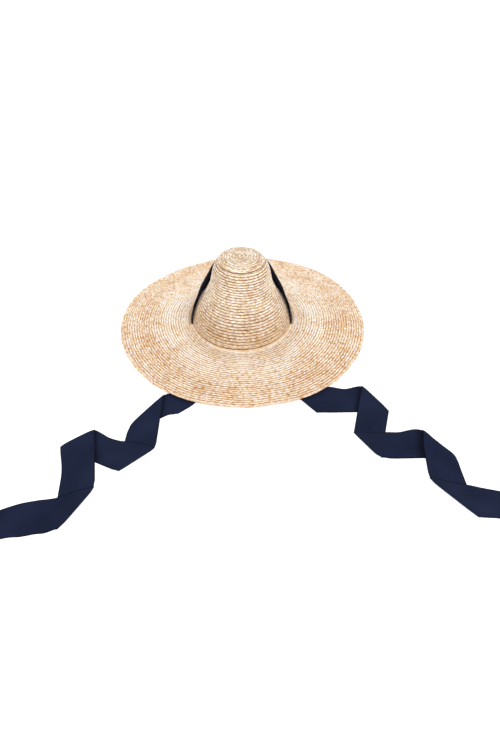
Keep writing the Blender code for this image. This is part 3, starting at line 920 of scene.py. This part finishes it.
class Strip:
    """One flat strip of a tie between two folds."""

    def __init__(self, start, end, below, loft):
        run = end - start
        self.loft = loft
        self.start, self.end, self.below, self.length = start, end, below, run.length
        self.heading = math.atan2(run.y, run.x)
        self.along = run.normalized()
        self.across = Vector((-self.along.y, self.along.x))
        self.before = below.before + below.length if below else 0.0

    def height(self, place):
        """How high the strip's underside is: it climbs over the strip before it."""
        if self.below is None:
            return 0.0
        off = abs((place - self.below.end).dot(self.below.across)) - RIBBON_WIDTH / 2
        over = 1.0 - smoothstep((off / RIBBON_WIDTH - CLIMB_MARGIN) / CLIMB_RUN)
        return over * (self.below.height(place) + RIBBON_LAYER + LAY_GAP)


def tie_strips(side_name):
    """The strips of one tie, from under its slot to its free end."""
    sign = 1.0 if side_name == "right" else -1.0
    row = neck_row(0.0)
    landing_x = sign * (CROWN_HALF_WIDTH + DROP_RUN) - CROWN_TO_LEFT
    landing = Vector((landing_x, (row[0].y + row[-1].y) / 2))
    turning = landing + Vector((sign * (RIBBON_WIDTH / 2 + 2 * RIBBON_LAYER), 0.0))
    degrees, outside = TIE_EMERGES[side_name]
    points = [landing, turning, (BRIM_RADIUS + outside * RIBBON_WIDTH) * direction(degrees)]
    for heading, share in TIE_FOLDS[side_name]:
        points.append(points[-1] + share * TIE_STRIP * direction(heading))
    strips = []
    for k, (start, end) in enumerate(zip(points, points[1:])):
        loft = FOLD_LOFTS[side_name][k - 1] if k else 0.0
        strips.append(Strip(start, end, strips[-1] if strips else None, loft))
    return strips


def slacken(point):
    """Move a point of a tie with the waves and the worn corners near it."""
    moved = point.copy()
    for (x, y), move, reach in SLACK:
        away = math.hypot(point.x * MM - x, point.y * MM - y)
        moved += Vector(move) / MM * (1.0 - smoothstep(away / reach))
    return moved


for tie in ("left", "right"):
    total = sum(strip.length for strip in tie_strips(tie))
    print(tie, "tie is", round(total * MM), "mm long below its slot")

# %% [markdown]
# A crease in thick ribbon isn't knife-sharp. The upper strip stands a millimetre higher beside its
# fold and settles over the next two centimetres. At two folds of each tie the strip below lies in
# a soft shade beside the one above. The lamps alone would need a taller fold to cast it, so the
# strip's points carry how deep that shade is.

# %% Creases, lofts and shades
def fold_line(before, after):
    """The direction of the crease between two strips."""
    return direction(math.degrees(before.heading + after.heading) / 2)


def crease_ends(strip, place, crease, upper, corners):
    """Where a crease through a place meets the ribbon's two edges, lane 0 first."""
    reach = RIBBON_WIDTH / 2 / crease.dot(strip.across)
    left = place + reach * crease + Vector(corners[0]) / MM
    right = place - reach * crease + Vector(corners[1]) / MM
    return (left, right) if upper > 0 else (right, left)


def off_edges(across):
    """1 over most of the ribbon's width, and 0 at its two edges."""
    return 1.0 - (2 * across - 1) ** 4


def loft(place, strip, crease, across):
    """How much higher a strip stands beside the fold that it starts from."""
    off = abs((place - strip.start).dot(Vector((-crease.y, crease.x))))
    return strip.loft * off_edges(across) * (1.0 - smoothstep(off / LOFT_RUN))


def shade_beside(rows, corner, edge, run):
    """Shade a strip's rows next to the edge, from a fold's corner, of the strip above them."""
    away = Vector((-edge.y, edge.x)).normalized()
    if (rows[0][LANES // 2][0].xy - corner).dot(away) < 0:
        away = -away
    for row in rows:
        for lane, (point, normal, along, across, _) in enumerate(row):
            shade = 1.0 - smoothstep((point.xy - corner).dot(away) / run)
            row[lane] = (point, normal, along, across, shade)

# %% [markdown]
# The ribbon is built as rows of points, each row across its width. A swept curve could do the
# straight strips, but it would twist or pinch at a fold. Rows can start on one crease and end on
# the next, whatever their slant, and go round each fold in a half circle, so that the cloth really
# turns over.

# %% Rows of points along a tie
ROW_STEP = 0.0030
FOLD_STEPS = 8
DROP_STEPS = 14
UP = Vector((0.0, 0.0, 1.0))


def strip_rows(strip, up, crease, near, far):
    """A strip's rows, from its near crease's two ends to its far one's."""
    count = max(3, math.ceil(strip.length / ROW_STEP))
    rows = []
    for k in range(count + 1):
        edges = [a.lerp(b, k / count) for a, b in zip(near, far)]
        row = []
        for lane in range(LANES + 1):
            place = edges[0].lerp(edges[1], lane / LANES)
            raised_by = loft(place, strip, crease, lane / LANES)
            height = strip.height(place) + raised_by + RIBBON_LAYER / 2
            along = strip.before + (place - strip.start).dot(strip.along)
            row.append((Vector((place.x, place.y, height)), up, along, lane / LANES, 0.0))
        rows.append(row)
    return rows


def fold_rows(edge, far, strip, rise_by, up):
    """Rows round a fold, from a strip's last row over to the next strip."""
    line = far[1] - far[0]
    out = Vector((-line.y, line.x, 0.0)).normalized()
    if out.xy.dot(strip.along) < 0:
        out = -out
    rows = []
    for k in range(1, FOLD_STEPS):
        turn = math.pi * k / FOLD_STEPS
        away = out * math.sin(turn) - UP * math.cos(turn)
        row = []
        for point, _, along, across, _ in edge:
            rise = RIBBON_LAYER + LAY_GAP + rise_by * off_edges(across)
            row.append((point + (UP + away) * rise / 2, -away * up.z, along, across, 0.0))
        rows.append(row)
    return rows


def tie_rows(side_name):
    """A tie's rows: lists of (point, normal, distance along the ribbon, place across, shade)."""
    strips = tie_strips(side_name)
    shades = FOLD_SHADES[side_name]
    upper = -1.0 if side_name == "right" else 1.0
    up = UP
    rows, laid = [], []
    crease = strips[0].across
    far = crease_ends(strips[0], strips[0].start, crease, upper, PAPER)
    for number, strip in enumerate(strips):
        start_crease, near = crease, far
        last = number == len(strips) - 1
        crease = strip.across if last else fold_line(strip, strips[number + 1])
        corners = PAPER if last else FOLD_CORNERS[side_name][number]
        far = crease_ends(strip, strip.end, crease, upper, corners)
        if number in shades:
            below = strips[number - 1]
            inner = min((0, 1), key=lambda i: (near[i] - below.start).dot(below.along))
            shade_beside(laid, near[inner], far[inner] - near[inner], shades[number])
        laid = strip_rows(strip, up, start_crease, near, far)
        rows += laid
        if not last:
            rows += fold_rows(laid[-1], far, strip, strips[number + 1].loft, up)
            up, upper = -up, -upper
    return [[(slacken(point), *rest) for point, *rest in row] for row in rows]

# %% [markdown]
# From the neck the ribbon goes down through its slot and turns outwards. The rows at both ends are
# known, and those between could be blended evenly, but that would leave a kink at each end. A
# cosine sideways and a sine downwards make it a smooth quarter turn.

# %% Rows through the slots
def drop_rows(high_row, low_row):
    """Rows from an end of the neck's rows down through a slot, to a row on the floor."""
    rows = []
    for k in range(1, DROP_STEPS):
        turn = math.pi / 2 * k / DROP_STEPS
        row = [high.lerp(low, 1 - math.cos(turn)) for high, low in zip(high_row, low_row)]
        for point, high, low in zip(row, high_row, low_row):
            point.z = low.z + (high.z - low.z) * (1 - math.sin(turn))
        rows.append(row)
    return rows

# %% [markdown]
# The left tie, the way up, the neck, the way down and the right tie are joined into one list of
# rows. They could be five meshes, but one list leaves no seams. The distance along the ribbon is
# added up on the way: the weave needs it, and its total is the ribbon's length.

# %% All rows in one line
left, right = tie_rows("left"), tie_rows("right")
left_floor, right_floor = ([point for point, *_ in tie[0]] for tie in (left, right))
neck = [neck_row(1 - k / NECK_ROWS) for k in range(NECK_ROWS + 1)]
left_drop, right_drop = drop_rows(neck[0], left_floor), drop_rows(neck[-1], right_floor)
raised = [left_floor, *left_drop[::-1], *neck, *right_drop, right_floor]
middle = LANES // 2
travelled = [0.0]
for before, after in zip(raised, raised[1:]):
    travelled.append(travelled[-1] + (after[middle] - before[middle]).length)
rows = [[(p, n, -along, v, shade) for p, n, along, v, shade in row] for row in reversed(left)]
for k in range(1, len(raised) - 1):
    row = []
    for lane in range(LANES + 1):
        along = raised[k + 1][lane] - raised[k - 1][lane]
        across = raised[k][min(lane + 1, LANES)] - raised[k][max(lane - 1, 0)]
        normal = along.cross(across).normalized()
        row.append((raised[k][lane], normal, travelled[k], lane / LANES, 0.0))
    rows.append(row)
for row in right:
    rows.append([(p, n, travelled[-1] + along, v, shade) for p, n, along, v, shade in row])

# %% [markdown]
# ## The ribbon
# The rows become one closed skin: an upper face, an under face and thin edges. Solidify could give
# a single sheet its thickness, but at tight folds its two sides may cross. Each corner keeps its
# place in the flat ribbon as an attribute, so the weave stays square to the ribbon at every fold.

# %% Skin the ribbon
RIBBON_THICKNESS = 0.0005
SHARP_ANGLE = 50


def skin_ribbon(name, rows, thickness):
    """A closed sheet round rows of (point, normal, along, across, shade)."""
    wide = len(rows[0])
    points, weave = [], []
    for sign in (0.5, -0.5):
        for row in rows:
            for point, normal, along, across, shade in row:
                points.append(AXIS + point + normal * thickness * sign)
                # the weave's third value is how deep the painted shade beside a fold is
                weave += [along, across * RIBBON_WIDTH, shade]
    faces = []
    under = len(rows) * wide
    for i in range(len(rows) - 1):
        for j in range(wide - 1):
            a, b = i * wide + j, (i + 1) * wide + j
            faces.append((a, b, b + 1, a + 1))
            faces.append((under + a, under + a + 1, under + b + 1, under + b))
        for j in (0, wide - 1):
            a, b = i * wide + j, (i + 1) * wide + j
            edge = (a, under + a, under + b, b)
            faces.append(edge if j == 0 else edge[::-1])
    for i in (0, len(rows) - 1):
        for j in range(wide - 1):
            a = i * wide + j
            edge = (a, a + 1, under + a + 1, under + a)
            faces.append(edge if i == 0 else edge[::-1])
    mesh = bpy.data.meshes.new(name)
    mesh.from_pydata(points, [], faces)
    mesh.attributes.new("weave", "FLOAT_VECTOR", "POINT").data.foreach_set("vector", weave)
    mesh.shade_smooth()
    mesh.set_sharp_from_angle(angle=math.radians(SHARP_ANGLE))
    return new_object(name, mesh)


ribbon = skin_ribbon("ribbon_cloth", rows, RIBBON_THICKNESS)
print("the ribbon has", len(ribbon.data.polygons), "faces")

# %% [markdown]
# The ribbon is a close navy weave with fine crosswise ribs, and a narrow, darker selvage along
# each edge. Ribs less than a millimetre apart could only be modelled with far too many faces, so
# they are a bump. A little sheen lifts the cloth where it turns from the light.

# %% Navy weave
RIB_STEP = 0.0009
SELVAGE = (0.0004, 0.0022)
SELVAGE_NAVY = (0.0032, 0.0048, 0.0130, 1.0)
DARK_NAVY, LIGHT_NAVY = (0.0061, 0.0092, 0.0258), (0.0130, 0.0187, 0.0470)
NAVY_STOPS = (0.30, 0.72)
THREAD_STRETCH, THREAD_SHARE = (40.0, 900.0, 1.0), 0.35
CLOUD_SCALE, CLOUD_SHARE = 18.0, 0.65
FOLD_SHADOW = (0.22, 0.25, 0.30)


def ribbon_finish():
    """Navy ribbon with fine ribs and dark selvages."""
    material, tree, shader = new_finish("ribbon", {
        "Roughness": 0.55, "Specular IOR Level": 0.04,
        "Sheen Weight": 0.08, "Sheen Tint": (0.60, 0.66, 1.0, 1.0), "Sheen Roughness": 0.4,
    })
    weave = add(tree, "ShaderNodeAttribute", attribute_name="weave").outputs["Vector"]
    along, across, shade = add(tree, "ShaderNodeSeparateXYZ", {0: weave}).outputs
    flat = vector(tree, "MULTIPLY", weave, (1.0, 1.0, 0.0))
    thread = mottle(tree, vector(tree, "MULTIPLY", flat, THREAD_STRETCH), 1.0, 2.0)[0]
    cloud = mottle(tree, flat, CLOUD_SCALE, 1.0)[0]
    tone = calculate(
        tree, "ADD",
        calculate(tree, "MULTIPLY", thread, THREAD_SHARE),
        calculate(tree, "MULTIPLY", cloud, CLOUD_SHARE),
    )
    navy = ramp(tree, tone, *zip(NAVY_STOPS, (DARK_NAVY, LIGHT_NAVY)))
    off_middle = calculate(tree, "ABSOLUTE", calculate(tree, "SUBTRACT", across, RIBBON_WIDTH / 2))
    from_edge = calculate(tree, "SUBTRACT", RIBBON_WIDTH / 2, off_middle)
    body = eased(tree, from_edge, *SELVAGE)
    cloth = add(
        tree, "ShaderNodeMix", {"Factor": body, "A": SELVAGE_NAVY, "B": navy}, data_type="RGBA"
    ).outputs["Result"]
    # painted shade beside two folds of each tie, from the weave's third value
    shadow = ramp(tree, shade, (0.0, WHITE), (1.0, FOLD_SHADOW))
    tree.links.new(vector(tree, "MULTIPLY", cloth, shadow), shader["Base Color"])
    ribs = calculate(tree, "SINE", calculate(tree, "MULTIPLY", along, 2 * math.pi / RIB_STEP))
    relief = calculate(tree, "MULTIPLY_ADD", ribs, 0.5, thread)
    bump = add(tree, "ShaderNodeBump", {"Height": relief, "Strength": 0.25, "Distance": 0.0002})
    tree.links.new(bump.outputs[0], shader["Normal"])
    return material


ribbon.data.materials.append(ribbon_finish())
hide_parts("ribbon")
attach(ribbon, "root")

# %% [markdown]
# ## Floor, light and camera
# The photograph is a catalogue picture on white, with hardly a shadow. A white floor that is only
# lit turns grey in a render, and a stronger lamp would bleach the hat. So the floor glows a
# little, to stay as white as the backdrop, but not under the crown: the inside of the hat is dark
# behind the slots.

# %% Floor
scene = bpy.context.scene
scene.view_settings.view_transform = "Standard"

FLOOR_HALF = 6
GLOW_STARTS = (0.10, 0.13)
GLOW = 0.35
corners = [(x * FLOOR_HALF, y * FLOOR_HALF, 0) for x, y in ((-1, -1), (1, -1), (1, 1), (-1, 1))]
floor_mesh = bpy.data.meshes.new("floor")
floor_mesh.from_pydata(corners, [], [(0, 1, 2, 3)])
floor = new_object("floor", floor_mesh)
pale, tree, paint = new_finish("pale_floor", {
    "Base Color": (0.93, 0.93, 0.93, 1.0), "Roughness": 0.9, "Specular IOR Level": 0.0,
    "Emission Color": (1.0, 1.0, 1.0, 1.0),
})
place = tree.nodes.new("ShaderNodeTexCoord").outputs["Object"]
from_axis = vector(tree, "DISTANCE", place, AXIS, result=1)
glow = eased(tree, from_axis, *GLOW_STARTS, 0.0, GLOW, smooth=False)
tree.links.new(glow, paint["Emission Strength"])
floor.data.materials.append(pale)
print("floor is", 2 * FLOOR_HALF, "m across")

# %% [markdown]
# The light is soft and comes from all round, a little more from the front and the right. The
# backdrop gives the first part of it. Area lamps could give the rest, but they fade with distance,
# and two wide sun lamps light a whole floor evenly.

# %% Light
BACKDROP = 0.80
# (name, strength, spread in degrees, direction that the light comes from)
LAMPS = (("key", 0.8, 40, (0.35, -0.30, 1.0)), ("fill", 1.0, 40, (0.0, -0.75, 0.67)))
world = bpy.data.worlds.new("studio")
world.use_nodes = True
backdrop = world.node_tree.nodes["Background"].inputs
backdrop["Color"].default_value = (1.0, 1.0, 1.0, 1.0)
backdrop["Strength"].default_value = BACKDROP
scene.world = world

for name, energy, spread, towards in LAMPS:
    lamp = bpy.data.lights.new(name, "SUN")
    lamp.energy = energy
    lamp.angle = math.radians(spread)
    lamp_object = new_object(name, lamp)
    lamp_object.rotation_euler = Vector(towards).to_track_quat("Z", "Y").to_euler()
    lean = math.degrees(lamp_object.rotation_euler.x)
    print(name, "light leans", round(lean), "degrees from overhead")

# %% [markdown]
# The camera stands in front of the hat and looks down at about forty degrees. It could be moved by
# eye until the picture fits, but then one mistake hides another. So its place and its lens were
# worked out from the rim's ellipse, the crown's height and the ties' perspective.

# %% Camera
SENSOR = 36.0
PICTURE_HEIGHT = 750.0
FOCAL_LENGTH = 764.0  # in pixels
ELEVATION = 41.89
AIM = Vector((0.0135, -0.136, 0.0))
CAMERA_DISTANCE = 1.255
camera_data = bpy.data.cameras.new("camera")
camera_data.sensor_width = SENSOR
camera_data.lens = SENSOR * FOCAL_LENGTH / PICTURE_HEIGHT
camera = new_object("camera", camera_data)
elevation = math.radians(ELEVATION)
back = Vector((0.0, -math.cos(elevation), math.sin(elevation)))
camera.location = AXIS + AIM + back * CAMERA_DISTANCE
camera.rotation_euler = (-back).to_track_quat("-Z", "Y").to_euler()
scene.camera = camera
print("camera at", tuple(round(v, 3) for v in camera.location))
